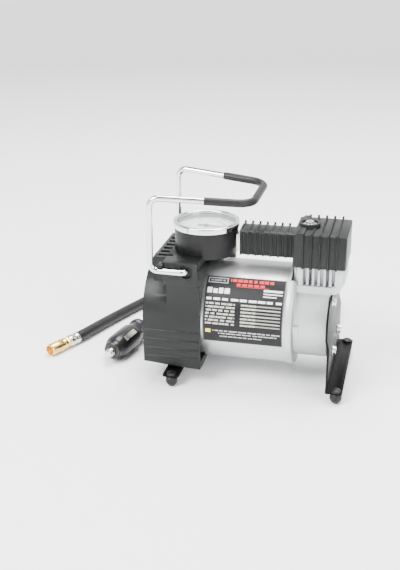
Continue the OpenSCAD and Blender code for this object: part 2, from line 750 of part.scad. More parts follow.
module bourdon_tube() color([0.8, 0.62, 0.28]) placed() translate([gauge_x, 0, 0]) difference() {
    union() {
        translate([0, 0, 55]) rotate([0, 0, 25]) rotate_extrude(angle = 240) translate([15, 0]) circle(1.6);
        rotate([0, 0, 25]) translate([15, 0, 55]) sphere(2.2);
        block([12, 18.7], [-5.4, 6.8], [51.5, 61.5]);
    }
    translate([-gauge_x, 0, 0]) rod_x(13.5, 20, 2.2, 0, pipe_z);
}

// ---------------------------------------------------------------- rear cap
module cap_round() {
    intersection() {
        circle(cap_r);
        translate([-cap_y, -50]) square([2 * cap_y, 100]);
    }
}

module cap_ring(x0, x1) {
    along_x(x0, x1) {
        cap_round();
        translate([-cap_y, skirt_z[0]]) square([2 * cap_y, skirt_z[1] - skirt_z[0]]);
    }
}

module rear_cap() color([0.14, 0.15, 0.15]) placed() difference() {
    union() {
        difference() {
            union() {
                cap_ring(cap_x[0], cap_x[1]);
                cap_saddle();
                cap_ribs();
            }
            cap_hollow();
        }
        cap_inner_bosses();
    }
    cap_cuts();
}

// The block that carries the gauge, with the panel below the handle's pivot on each side
module cap_saddle() {
    block([-23, cap_x[1]], [-40.3, 40.3], [-6, 31]);
    block([saddle_x, 1.6], [-saddle_y, saddle_y], [31, saddle_z]);
    block([grille_x, 1.6], [-grille_y, grille_y], [28, saddle_z - 0.3]);
    both_sides() block([-28.8, saddle_x + 1], [-44.6, -36], [45.95, 48.1]);
}

module cap_ribs() {
    both_sides() for (z = [-7.5, -15.2, -22.6, -29.6])
        rod_x(cap_x[0] + 1, cap_x[1] - 1, 1.1, -cap_y + 0.35, z);
}

module cap_hollow() {
    rod_x(can_rear_x - 3, cap_x[1] + 1, cap_in_r);
    rod_x(cap_x[0] + cap_wall, can_rear_x, cap_r - cap_wall - 0.3);
    block([cap_x[0] + cap_wall, cap_x[1] + 1], [-38.2, 38.2], [-32.8, skirt_z[1] - 2]);
    block([-23.2, cap_x[1] + 1], [-38.2, 38.2], [-10, 29]);
    block([saddle_x + 2.2, cap_x[1] + 1], [-38.6, 38.6], [20, 43.8]);
    block([grille_x + 2, cap_x[1] + 1], [-grille_y + 2, grille_y - 2], [20, saddle_z - 2.6]);
    translate([gauge_x, 0, case_z[0] - 0.05]) cylinder(h = 10, r = 24.9);
}

// Sockets for the handle's ends, and the floor under the gauge
module cap_inner_bosses() {
    both_sides() block([pivot[0] - 6, pivot[0] + 6], [-39, -31], [36.5, 46]);
    difference() {
        block([saddle_x + 1, 1.6], [-39, 39], [42, case_z[0] - 0.05]);
        rod_x(saddle_x - 1, 5, cap_in_r);
    }
}

module cap_cuts() {
    // Sloping lower edge
    along_y(-60, 60) polygon([
        [cap_x[0] - 1, -60], [cap_x[0] - 1, skirt_z[0] + skirt_rise], [cap_x[1] + 1, skirt_z[0]], [cap_x[1] + 1, -60]
    ]);
    // Handle sockets
    both_sides() {
        rod_y(-42, -33, pivot_r + 0.05, pivot[0], pivot[1]);
        rod_y(-42, -saddle_y + 2.4, 5.4, pivot[0], pivot[1]);
    }
    // Cooling slots beside the gauge
    for (i = [-3 : 3])
        block([grille_x + 2.4, saddle_x - 0.8 + (abs(i) > 2 ? 5 : 0)], [i * 8 - 2, i * 8 + 2], [40, 52]);
    // Switch opening, screws, grommet and the slot for the left bracket
    block([cap_x[0] - 1, cap_x[0] + 4], about(switch_at[0], 6.6), about(switch_at[1], 9.6));
    for (s = [-1, 1]) {
        rod_x(cap_x[0] - 1, cap_x[0] + 4, 1.9, s * 27, 15);
        rod_x(cap_x[0] - 1, cap_x[0] + 1.2, 3.6, s * 27, 15);
    }
    rod_y(36, 42, 4.6, grommet_at[0], grommet_at[1]);
    rod_y(cap_y, 44, 6.4, grommet_at[0], grommet_at[1]);
    block([-26.2, -23.6], [-16.6, 16.6], [-50, -30]);
}

module cap_screws() color("silver") placed()
    for (s = [-1, 1]) {
        rod_x(cap_x[0] + 1.2, -20, 1.55, s * 27, 15);
        rod_x(cap_x[0] + 0.2, cap_x[0] + 1.2, 3.2, s * 27, 15);
    }

module switch_body() color([0.08, 0.08, 0.09]) placed() difference() {
    translate([0, switch_at[0], switch_at[1]]) union() {
        block([cap_x[0] - 2.6, cap_x[0]], [-7.5, 7.5], [-10.5, 10.5]);
        block([cap_x[0] - eps, cap_x[0] + 13], [-6.5, 6.5], [-9.5, 9.5]);
        for (z = [-5, 5]) block([cap_x[0] + 12, cap_x[0] + 15.5], [-2.4, 2.4], [z - 0.4, z + 0.4]);
    }
    translate([0, switch_at[0], switch_at[1]]) {
        block([cap_x[0] - 4, cap_x[0] + 5], [-5.2, 5.2], [-9.1, 9.1]);
        rod_y(-6, 6, 1.55, cap_x[0] - 0.2, 0);
    }
}

// Rocker, drawn tipped to the off side
module switch_rocker() color([0.1, 0.1, 0.11]) placed()
    translate([cap_x[0] - 0.2, switch_at[0], switch_at[1]]) rotate([0, rocker_tilt, 0]) {
        rod_y(-5.9, 5.9, 1.5);
        along_y(-4.9, 4.9) polygon([
            [-8.2, -7.8], [-7.9, -8.1], [2, -6.5], [4, 0], [2, 6.5], [-7.9, 8.1], [-8.2, 7.8], [-6.9, 0]
        ]);
    }

// ---------------------------------------------------------------- handle
module handle_wire() color([0.85, 0.85, 0.87]) placed() {
    route = rounded_path(both_ways(handle_path), there_and_back(handle_bends));
    swept_tube(route, wire_r, 16, [1, 0, 0], [0, -1, 0], [0, -1, 0]);
    both_sides() rod_y(-39.9, -35, pivot_r, pivot[0], pivot[1]);
}

module handle_grip() color([0.08, 0.08, 0.08]) placed() {
    route = rounded_path(both_ways(grip_path), there_and_back(grip_bends));
    start = tangent(route, 0);
    stop = tangent(route, len(route) - 1);
    difference() {
        swept_tube(route, grip_d / 2, 16, [0, 0, 1], start, stop);
        swept_tube(lengthened(route, start, stop), wire_r + 0.08, 16, [0, 0, 1], start, stop);
    }
}

// ---------------------------------------------------------------- brackets and feet
module right_bracket() color([0.1, 0.1, 0.11]) placed() difference() {
    intersection() {
        along_y(-60, 60) polygon([
            [plate_x, 30], [plate_x + sheet_t, 30], [plate_x + sheet_t, -1],
            [plate_x + sheet_t + joggle, -8], [plate_x + sheet_t + joggle, flange_top],
            [114.2, flange_top], [114.2, flange_top - sheet_t], [plate_x + joggle, flange_top - sheet_t],
            [plate_x + joggle, -8], [plate_x, -1]
        ]);
        along_x(90, 120) bracket_outline();
    }
    bracket_bosses(95, 105, 1.9);
    for (s = [-1, 1]) translate([right_foot_x, s * foot_y, -46]) cylinder(h = 6, r = 2.55);
}

module bracket_outline() {
    polygon(concat(
        [for (p = arc(-29, 7.3, 17, 90, 180, 8)) p],
        [[-46, -38], [-48.2, -40.5], [-48.2, -50], [48.2, -50], [48.2, -40.5], [46, -38]],
        [for (p = arc(29, 7.3, 17, 0, 90, 8)) p]
    ));
}

module left_bracket() color([0.1, 0.1, 0.11]) placed() difference() {
    union() {
        block([-25.8, -24.2], [-16, 16], [flange_top - 1, -14]);
        translate([0, 0, flange_top - sheet_t]) linear_extrude(sheet_t)
            rounded_square([-25.8, -12.8], [-48.2, 48.2], 2);
    }
    rod_x(-27, -23, 3.7, 0, -bolt_z);
    for (s = [-1, 1]) {
        rod_x(-27, -23, 1.8, s * 10, -24);
        translate([left_foot_x, s * foot_y, -46]) cylinder(h = 6, r = 2.55);
    }
}

module bracket_screws() color([0.85, 0.86, 0.88]) placed() {
    for (sy = [-1, 1], sz = [-1, 1]) {
        seat = plate_x + sheet_t + (sz < 0 ? joggle : 0);
        y = sy * boss_at[0];
        z = sz * boss_at[1];
        rod_x(86, seat, 1.7, y, z);
        rod_x(seat, seat + 0.7, 4, y, z);
        difference() {
            rod_x(seat + 0.7 - eps, seat + 2.9, 3.2, y, z);
            block([seat + 2.1, seat + 4], about(y, 2.2), about(z, 0.4));
        }
    }
    for (s = [-1, 1]) {
        rod_x(-25.8, -19.5, 1.65, s * 10, -24);
        rod_x(-27.8, -25.8, 3, s * 10, -24);
    }
}

// Push-in rubber feet: a round button, a waist under the sheet, and a head above it
module rubber_feet() color([0.06, 0.06, 0.06]) placed()
    for (x = [left_foot_x, right_foot_x], s = [-1, 1])
        translate([x, s * foot_y, -axis_h]) rotate_extrude() polygon(concat(
            [[0, 0], [2.2, 0]],
            arc(0, foot_r, foot_r, -60, 40, 10),
            [[3.2, 7.95], [2.5, 7.95], [2.5, 9.65], [3.9, 9.65], [3.6, 10.8], [2, 11.6], [0, 11.8]]
        ));

// ---------------------------------------------------------------- air hose
module hose_outlet() color([0.83, 0.83, 0.8]) placed() difference() {
    union() {
        rod_y(19, 25.6, 4, outlet_x, outlet_z);
        translate([outlet_x, 25.4, outlet_z]) rotate([-90, 0, 0]) cylinder(h = 6, r = 6, $fn = 6);
        rod_y(31, outlet_y, 4.2, outlet_x, outlet_z);
        translate([outlet_x, outlet_y, outlet_z]) sphere(4.2);
        translate([outlet_x, outlet_y, 50]) cylinder(h = 3, r = 4.2);
        translate([outlet_x, outlet_y, 40]) cylinder(h = 10.5, r = 5.4);
    }
    rod_y(18, 50, 2.2, outlet_x, outlet_z);
}

module air_hose() color([0.07, 0.07, 0.07]) placed()
    swept_tube(hose_route, hose_r, 12, [1, 0, 0], [0, 0, -1], [cos(chuck_dir), sin(chuck_dir), 0]);

// What sits on the hose's free end is drawn along +X from the end of the hose
module on_hose() {
    last = hose_route[len(hose_route) - 1];
    translate(last) rotate([0, 0, chuck_dir]) children();
}

module hose_ferrule() color([0.82, 0.82, 0.78]) placed() on_hose() difference() {
    turned_x([
        [0, 0], [5, 0], [5, 2], [4.7, 2.6], [4.7, 4.6], [5, 5.2], [5, 9.6], [4.4, 10.2], [0, 10.2]
    ]);
    rod_x(-1, 12, 2.6);
}

module chuck_barb() color([0.8, 0.66, 0.3]) placed() on_hose() difference() {
    union() {
        rod_x(0, 10.3, 2.55);
        translate([10.2, 0, 0]) rotate([0, 90, 0]) cylinder(h = 3, r = 4.6, $fn = 6);
        rod_x(13, 19.5, 3);
        rod_x(19.4, 20.4, 3.3);
    }
    rod_x(-1, 19, 1.3);
    for (a = [0 : 120 : 240]) rotate([a, 0, 0]) rod_x(17, 23, 0.5, 2.1, 0);
}

module chuck_sleeve() color([0.83, 0.68, 0.3]) placed() on_hose() difference() {
    turned_x([
        [0, 13.6], [4.2, 13.6], [4.9, 14.4], [4.9, 16.4], [4.4, 16.9], [4.4, 18.2],
        [5.1, 18.8], [5.1, 31], [4.6, 32], [0, 32]
    ]);
    rod_x(12, 20, 3.05);
    rod_x(18.9, 20.7, 3.38);
    rod_x(20.6, 33, 3.9);
    for (n = [0 : 7]) rotate([45 * n, 0, 0]) block([21, 33], [-0.5, 0.5], [4.7, 6]);
}

// ---------------------------------------------------------------- lead and plug
module cord_grommet() color([0.06, 0.06, 0.06]) placed()
    translate([grommet_at[0], 0, grommet_at[1]]) rotate([-90, 0, 0]) rotate_extrude() polygon([
        [lead_r + 0.05, 37.2], [5.6, 37.2], [5.6, 38.1], [4.5, 38.1], [4.5, 40.6], [5.6, 40.6],
        [5.6, 42.4], [5, 43.2], [3.9, 65.4], [lead_r + 0.05, 65.4]
    ]);

module supply_lead() color([0.06, 0.06, 0.06]) placed() {
    swept_tube(supply_route, lead_r, 8, [1, 0, 0], [0, 1, 0], tangent(supply_route, len(supply_route) - 1));
    rod_y(34, 65.5, lead_r, grommet_at[0], grommet_at[1]);
    swept_tube(plug_route, lead_r, 8, [0, 0, 1], tangent(plug_route, 0), [cos(plug_dir), sin(plug_dir), 0]);
}

module lead_coil() color([0.06, 0.06, 0.06]) placed()
    translate([coil_at[0], coil_at[1], -axis_h]) rotate_extrude()
        rounded_square(coil_r, [0, coil_h], 3);

module on_plug() {
    heading(plug_rear, plug_r - axis_h, plug_dir) children();
}

module plug_body() color([0.07, 0.07, 0.07]) placed() on_plug() difference() {
    turned_x([
        [0, -11.5], [4, -11.5], [5.2, -0.5], [9, 0], [9.4, 0.6], [9.4, 3.4], [8, 4.4], [8, 14],
        [10.1, 16], [plug_r, 17], [plug_r, 40], [9.2, 43.5], [7.4, 46.5], [7.4, 48.4], [6.6, 49.2], [0, 49.2]
    ]);
    rod_x(12, 46, 5.6);
    rod_x(45, 50, 3.9);
}

// The sprung centre pin, with its collar behind the nose, and the two side contacts apart
module plug_tip() color([0.85, 0.85, 0.86]) placed() on_plug() {
    rod_x(38, 53.6, 3.6);
    turned_x([[0, 53.5], [3.6, 53.5], [2.6, 55.4], [0, 55.8]]);
    rod_x(42.5, 45.9, 5.3);
}

motor_can();
name_label();
rear_plate();
field_magnets();
through_bolts();
shaft_bushes();
brush_holders();
carbon_brushes();
motor_shaft();
armature_core();
armature_windings();
commutator();
drive_pinion();
crankcase();
crankcase_cover();
crank_axle();
crank_gear();
crank_pin();
connecting_rod();
big_end_bearing();
cup_seal();
piston_screw();
finned_cylinder();
valve_plate();
reed_valves();
head_gasket();
cylinder_head();
head_screws();
shroud();
shroud_screw();
shroud_washer();
air_pipe();
gauge_fitting();
gauge_case();
gauge_bezel();
gauge_lens();
gauge_dial();
gauge_needle();
gauge_movement();
bourdon_tube();
rear_cap();
cap_screws();
switch_body();
switch_rocker();
handle_wire();
handle_grip();
right_bracket();
left_bracket();
bracket_screws();
rubber_feet();
hose_outlet();
air_hose();
hose_ferrule();
chuck_barb();
chuck_sleeve();
cord_grommet();
supply_lead();
lead_coil();
plug_body();
plug_tip();
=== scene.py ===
import json
import math

import bmesh
import bpy
from mathutils import Matrix, Vector

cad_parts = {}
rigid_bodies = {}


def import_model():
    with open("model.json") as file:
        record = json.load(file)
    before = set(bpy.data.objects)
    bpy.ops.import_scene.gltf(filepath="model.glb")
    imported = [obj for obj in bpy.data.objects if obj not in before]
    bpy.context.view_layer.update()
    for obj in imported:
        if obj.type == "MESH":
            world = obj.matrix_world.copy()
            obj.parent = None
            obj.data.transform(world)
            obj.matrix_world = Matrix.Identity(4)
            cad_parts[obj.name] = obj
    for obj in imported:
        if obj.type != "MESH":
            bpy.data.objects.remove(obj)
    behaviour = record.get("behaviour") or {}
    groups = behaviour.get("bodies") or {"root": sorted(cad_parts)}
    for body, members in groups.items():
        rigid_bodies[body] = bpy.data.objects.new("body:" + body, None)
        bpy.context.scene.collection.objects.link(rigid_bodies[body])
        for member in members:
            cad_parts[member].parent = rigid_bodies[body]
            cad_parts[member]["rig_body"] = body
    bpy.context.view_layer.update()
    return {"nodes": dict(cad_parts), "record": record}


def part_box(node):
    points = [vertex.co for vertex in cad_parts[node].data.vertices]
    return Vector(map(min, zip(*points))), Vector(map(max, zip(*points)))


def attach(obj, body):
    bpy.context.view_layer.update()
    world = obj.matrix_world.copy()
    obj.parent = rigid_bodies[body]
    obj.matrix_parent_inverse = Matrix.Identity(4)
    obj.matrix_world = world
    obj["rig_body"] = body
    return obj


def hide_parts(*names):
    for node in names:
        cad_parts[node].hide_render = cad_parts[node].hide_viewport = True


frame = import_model()

bl_info = {
    "name": "Tire inflator dressing",
    "version": (1, 0, 0),
    "blender": (4, 5, 0),
    "location": "3D Viewport > Sidebar > Inflator",
    "description": "Gives the packed tire inflator its finishes, hose, lead and studio",
    "category": "Object",
}

MM = 0.001


def middle(node):
    """The middle of a CAD node's box."""
    low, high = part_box(node)
    return (low + high) / 2


def axis_point():
    """A point on the motor's axis, which runs along X."""
    return middle("motor_shaft")


AXIS_Z = axis_point().z
# Everything that part.scad measures along X from the gauge side starts here
ORIGIN_X = middle("gauge_dial").x + 0.75 * MM


def place(x, y, z):
    """A point in the part's own millimetres, about the motor's axis, in the row frame's metres."""
    return Vector((ORIGIN_X + x * MM, y * MM, AXIS_Z + z * MM))


# ---------------------------------------------------------------- shader maths


class Wire:
    """One socket of a shader tree, or a number, that takes part in ordinary arithmetic."""

    def __init__(self, net, socket):
        self.net = net
        self.socket = socket

    def _math(self, operation, *others, swap=False):
        terms = [self, *others]
        return self.net.maths(operation, *(reversed(terms) if swap else terms))

    def __add__(self, other):
        return self._math("ADD", other)

    def __radd__(self, other):
        return self._math("ADD", other)

    def __sub__(self, other):
        return self._math("SUBTRACT", other)

    def __rsub__(self, other):
        return self._math("SUBTRACT", other, swap=True)

    def __mul__(self, other):
        return self._math("MULTIPLY", other)

    def __rmul__(self, other):
        return self._math("MULTIPLY", other)

    def __truediv__(self, other):
        return self._math("DIVIDE", other)

    def __rtruediv__(self, other):
        return self._math("DIVIDE", other, swap=True)

    def __lt__(self, other):
        return self._math("LESS_THAN", other)

    def __gt__(self, other):
        return self._math("GREATER_THAN", other)

    def __abs__(self):
        return self._math("ABSOLUTE")

    def __neg__(self):
        return self * -1.0

    def floor(self):
        return self._math("FLOOR")

    def fraction(self):
        return self._math("FRACT")

    def between(self, low, high):
        """1 where the value lies between low and high, else 0."""
        return (self > low) * (self < high)

    def clamped(self):
        return self.net.maths("MINIMUM", self.net.maths("MAXIMUM", self, 0.0), 1.0)


class Net:
    """A material's node tree, with one method for each way of making nodes."""

    def __init__(self, name):
        self.material = bpy.data.materials.new(name)
        self.material.use_nodes = True
        self.tree = self.material.node_tree
        self.tree.nodes.clear()
        self.output = self.tree.nodes.new("ShaderNodeOutputMaterial")
        self.shader = self.tree.nodes.new("ShaderNodeBsdfPrincipled")
        self.tree.links.new(self.shader.outputs["BSDF"], self.output.inputs["Surface"])

    def node(self, kind, settings=None, inputs=None, output=0):
        """Makes a node of that type, sets its properties and inputs, and returns one output."""
        node = self.tree.nodes.new(kind)
        for key, value in (settings or {}).items():
            setattr(node, key, value)
        for key, value in (inputs or {}).items():
            self.feed(node.inputs[key], value)
        return Wire(self, node.outputs[output])

    def feed(self, socket, value):
        """Links a wire to a socket, or sets the constant on it."""
        if isinstance(value, Wire):
            self.tree.links.new(value.socket, socket)
        elif isinstance(value, (tuple, list)) and socket.type == "RGBA":
            socket.default_value = (*value[:3], 1.0)
        else:
            socket.default_value = value

    def maths(self, operation, *terms):
        node = self.tree.nodes.new("ShaderNodeMath")
        node.operation = operation
        for socket, term in zip(node.inputs, terms, strict=False):
            self.feed(socket, term)
        return Wire(self, node.outputs[0])

    def mix(self, factor, a, b):
        """Blends two colours."""
        node = self.tree.nodes.new("ShaderNodeMix")
        node.data_type = "RGBA"
        self.feed(node.inputs["Factor"], factor)
        self.feed(next(s for s in node.inputs if s.name == "A" and s.type == "RGBA"), a)
        self.feed(next(s for s in node.inputs if s.name == "B" and s.type == "RGBA"), b)
        return Wire(self, next(s for s in node.outputs if s.type == "RGBA"))

    def point(self):
        """The place of the shaded point in the row frame, as three wires."""
        spot = self.node("ShaderNodeTexCoord", output="Object")
        split = self.tree.nodes.new("ShaderNodeSeparateXYZ")
        self.tree.links.new(spot.socket, split.inputs[0])
        return spot, [Wire(self, s) for s in split.outputs]

    def stretched(self, scale):
        """Object coordinates, scaled by a vector."""
        spot, _ = self.point()
        return self.node(
            "ShaderNodeVectorMath",
            {"operation": "MULTIPLY"},
            {0: spot, 1: scale},
        )

    def noise(self, scale, detail=3.0, roughness=0.5, vector=None):
        inputs = {"Scale": scale, "Detail": detail, "Roughness": roughness}
        inputs["Vector"] = vector if vector else self.point()[0]
        return self.node("ShaderNodeTexNoise", None, inputs)

    def bump(self, height, distance, strength=1.0):
        return self.node(
            "ShaderNodeBump",
            None,
            {"Height": height, "Distance": distance, "Strength": strength},
        )

    def finish(self, **inputs):
        """Sets the shader's inputs and returns the material."""
        for key, value in inputs.items():
            self.feed(self.shader.inputs[key.replace("_", " ")], value)
        return self.material


# ---------------------------------------------------------------- finishes


def metal(name, colour, roughness, grain=0.0, grain_scale=900.0, spread=0.06, tarnish=None, metallic=1.0):
    """Bare or plated metal: slightly uneven in shine, with a cast or ground grain."""
    net = Net(name)
    cloud = net.noise(35.0, 4.0, 0.55)
    fine = net.noise(grain_scale, 2.0, 0.6)
    base = net.mix(cloud, colour, tarnish or [c * 0.82 for c in colour])
    inputs = {
        "Base_Color": base,
        "Metallic": metallic,
        "Roughness": (roughness - spread / 2 + cloud * spread + fine * spread * 0.5).clamped(),
    }
    if grain:
        inputs["Normal"] = net.bump(fine, grain)
    return net.finish(**inputs)


def turned_metal(name, colour, roughness, direction, grain=0.00002):
    """Metal with fine lines along one direction, from drawing, brushing or turning."""
    net = Net(name)
    scale = [1400.0, 1400.0, 1400.0]
    scale[direction] = 18.0
    lines = net.noise(1.0, 3.0, 0.65, net.stretched(scale))
    cloud = net.noise(28.0, 3.0)
    base = net.mix(lines * 0.6 + cloud * 0.4, [c * 0.86 for c in colour], colour)
    return net.finish(
        Base_Color=base,
        Metallic=1.0,
        Roughness=(roughness + lines * 0.14 - 0.05).clamped(),
        Normal=net.bump(lines, grain),
    )


def plastic(name, colour, roughness, grain=0.00003, grain_scale=1600.0, coat=0.0, shine=0.24):
    """Moulded plastic with a fine texture and faintly uneven shine."""
    net = Net(name)
    fine = net.noise(grain_scale, 2.0, 0.6)
    cloud = net.noise(22.0, 4.0, 0.5)
    dark = [c * 0.78 for c in colour]
    light = [min(1.0, c * 1.25 + 0.002) for c in colour]
    base = net.mix((cloud * 1.6 - 0.3).clamped(), dark, light)
    return net.finish(
        Base_Color=base,
        Roughness=(roughness - 0.05 + cloud * 0.1 + fine * 0.05).clamped(),
        Coat_Weight=coat,
        Coat_Roughness=0.2,
        Specular_IOR_Level=shine,
        Normal=net.bump(fine, grain),
    )


def rubber(name, colour, roughness):
    """Soft black rubber, dusty in the hollows of a fine grain."""
    net = Net(name)
    fine = net.noise(2200.0, 2.0, 0.6)
    dust = net.noise(60.0, 5.0, 0.6)
    base = net.mix(((dust - 0.5) * 3.0).clamped(), colour, [c * 1.8 + 0.002 for c in colour])
    return net.finish(
        Base_Color=base,
        Roughness=(roughness + dust * 0.12 - 0.06).clamped(),
        Specular_IOR_Level=0.3,
        Normal=net.bump(fine, 0.00002),
    )


def silver_paint(name, colour):
    """Satin silver lacquer on the drawn can, with fine flakes and soft drawing lines round it."""
    net = Net(name)
    flakes = net.noise(5200.0, 1.0, 0.5)
    lines = net.noise(1.0, 3.0, 0.6, net.stretched([900.0, 30.0, 30.0]))
    cloud = net.noise(16.0, 3.0)
    dark = [c * 0.84 for c in colour]
    light = [min(1.0, c * 1.08) for c in colour]
    base = net.mix(flakes * 0.5 + lines * 0.5, dark, light)
    return net.finish(
        Base_Color=base,
        Metallic=0.82,
        Roughness=(0.33 + lines * 0.08 + cloud * 0.06 - 0.05).clamped(),
        Coat_Weight=0.25,
        Coat_Roughness=0.3,
        Normal=net.bump(flakes, 0.00001),
    )


def dressed_lens(name):
    net = Net(name)
    smear = net.noise(45.0, 3.0)
    return net.finish(
        Base_Color=(0.93, 0.96, 0.97),
        Roughness=(smear * 0.05 + 0.01).clamped(),
        IOR=1.45,
        Alpha=0.16,
        Specular_IOR_Level=0.7,
        Coat_Weight=1.0,
        Coat_Roughness=0.02,
    )


def label_print(name):
    """The black name label: a border, a badge, two red lines, white blocks and a table, with no lettering."""
    net = Net(name)
    _, (x, y, z) = net.point()
    low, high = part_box("name_label")
    across = (x - low.x) / (high.x - low.x)
    turn = net.maths("ARCTAN2", z - AXIS_Z, -y)
    top = math.radians(58.75)
    down = (top - turn) / (top + math.radians(19.9))

    def block(u0, u1, v0, v1):
        return across.between(u0, u1) * down.between(v0, v1)

    def words(u0, u1, v0, v1, pitch, seed):
        """Short bars of uneven length in place of words."""
        cell = ((across + seed) * pitch).floor()
        gap = (net.maths("SINE", cell * 12.9898 + seed * 7.0) * 437.585).fraction()
        return block(u0, u1, v0, v1) * (((across + seed) * pitch).fraction() < gap * 0.35 + 0.6)

    badge = block(0.03, 0.28, 0.030, 0.115) - block(0.042, 0.268, 0.042, 0.103)
    badge_band = words(0.06, 0.25, 0.060, 0.085, 26.0, 0.4)
    red = words(0.31, 0.86, 0.035, 0.082, 15.0, 0.2) + words(0.39, 0.74, 0.105, 0.142, 13.0, 0.7)
    red = red + block(0.39, 0.80, 0.150, 0.157)
    white = block(0.035, 0.095, 0.19, 0.27) + block(0.110, 0.165, 0.205, 0.27)
    white = white + block(0.180, 0.235, 0.19, 0.27) + block(0.250, 0.315, 0.19, 0.27)
    for u1, v0, v1 in ((0.970, 0.17, 0.20), (0.970, 0.225, 0.24), (0.900, 0.265, 0.28)):
        white = white + block(0.735, u1, v0, v1)
    white = white + words(0.035, 0.97, 0.335, 0.368, 9.0, 0.1)
    table = None
    for row in range(7):
        v = 0.405 + row * 0.0475
        bars = words(0.035, 0.40, v, v + 0.024, 13.0, 0.31 + row * 0.17) * 0.75
        bars = bars + block(0.475, 0.965, v + 0.002, v + 0.020) * (0.62 if row % 2 else 0.42)
        bars = bars + words(0.475, 0.66, v - 0.002, v + 0.026, 19.0, 0.53 + row * 0.29) * 0.3
        table = bars if table is None else table + bars
    mark = block(0.04, 0.105, 0.79, 0.845)
    notes = words(0.13, 0.97, 0.800, 0.818, 17.0, 0.9) + words(0.20, 0.93, 0.842, 0.858, 15.0, 0.5)
    notes = notes + words(0.22, 0.75, 0.890, 0.906, 16.0, 0.8)
    edge = 1.0 - block(0.012, 0.988, 0.010, 0.990)
    haze = net.noise(40.0, 3.0)
    ink = net.mix(haze, (0.004, 0.004, 0.005), (0.006, 0.006, 0.007))
    ink = net.mix(edge.clamped(), ink, (0.10, 0.10, 0.11))
    ink = net.mix((badge + badge_band * 0.6).clamped(), ink, (0.35, 0.36, 0.37))
    ink = net.mix(red.clamped(), ink, (0.62, 0.03, 0.03))
    ink = net.mix(white.clamped(), ink, (0.82, 0.83, 0.83))
    ink = net.mix(table.clamped(), ink, (0.62, 0.62, 0.56))
    ink = net.mix((notes * 0.6).clamped(), ink, (0.7, 0.7, 0.7))
    ink = net.mix(mark.clamped(), ink, (0.85, 0.66, 0.05))
    return net.finish(Base_Color=ink, Roughness=(haze * 0.12 + 0.36).clamped(), Specular_IOR_Level=0.25)


def dial_print(name):
    """The gauge's dial: two rings of marks, a coloured arc and a plain centre."""
    net = Net(name)
    _, (x, y, _) = net.point()
    centre = middle("gauge_dial")
    dx = (x - centre.x) / MM
    dy = (y - centre.y) / MM
    r = net.maths("SQRT", dx * dx + dy * dy)
    # Degrees clockwise from the lower left, where the scale starts
    turn = (225.0 - net.maths("ARCTAN2", dy, dx) * (180.0 / math.pi)) / 360.0
    sweep = turn.fraction() * 360.0
    scale = sweep < 270.5
    cell = abs((sweep / 27.0 + 0.5).fraction() - 0.5)
    small = abs((sweep / 5.4 + 0.5).fraction() - 0.5)
    long_marks = (cell * r < 0.55) * r.between(16.2, 20.6) * scale
    short_marks = (small * r < 1.3) * r.between(18.6, 20.6) * scale
    ring = r.between(20.5, 20.9) * scale + r.between(13.4, 13.7) * scale
    inner = (small * r < 1.3) * r.between(11.9, 13.4) * scale
    arc = r.between(14.2, 15.2) * sweep.between(150.0, 205.0)
    high = r.between(14.2, 15.2) * sweep.between(205.0, 270.0)
    cloud = net.noise(90.0, 2.0)
    paper = net.mix(cloud, (0.70, 0.72, 0.72), (0.80, 0.81, 0.80))
    ink = net.mix((long_marks + short_marks + ring + inner).clamped(), paper, (0.03, 0.03, 0.035))
    ink = net.mix(arc.clamped(), ink, (0.10, 0.30, 0.12))
    ink = net.mix(high.clamped(), ink, (0.55, 0.06, 0.04))
    return net.finish(Base_Color=ink, Roughness=(cloud * 0.1 + 0.35).clamped())


def needle_paint(name):
    """Dark pointer with an orange-brown outer half."""
    net = Net(name)
    _, (x, y, _) = net.point()
    centre = middle("gauge_dial")
    reach = net.maths("SQRT", (x - centre.x) * (x - centre.x) + (y - centre.y) * (y - centre.y)) / MM
    tip = ((reach - 8.0) * 2.0).clamped() * (x > centre.x)
    fine = net.noise(800.0)
    base = net.mix(tip, (0.02, 0.02, 0.02), (0.45, 0.17, 0.03))
    return net.finish(Base_Color=base, Roughness=(fine * 0.1 + 0.3).clamped())


def floor_paper(name):
    """Plain pale backdrop paper."""
    net = Net(name)
    fibre = net.noise(420.0, 3.0)
    base = net.mix(fibre, (0.92, 0.925, 0.93), (0.95, 0.95, 0.95))
    return net.finish(Base_Color=base, Roughness=(fibre * 0.1 + 0.6).clamped())


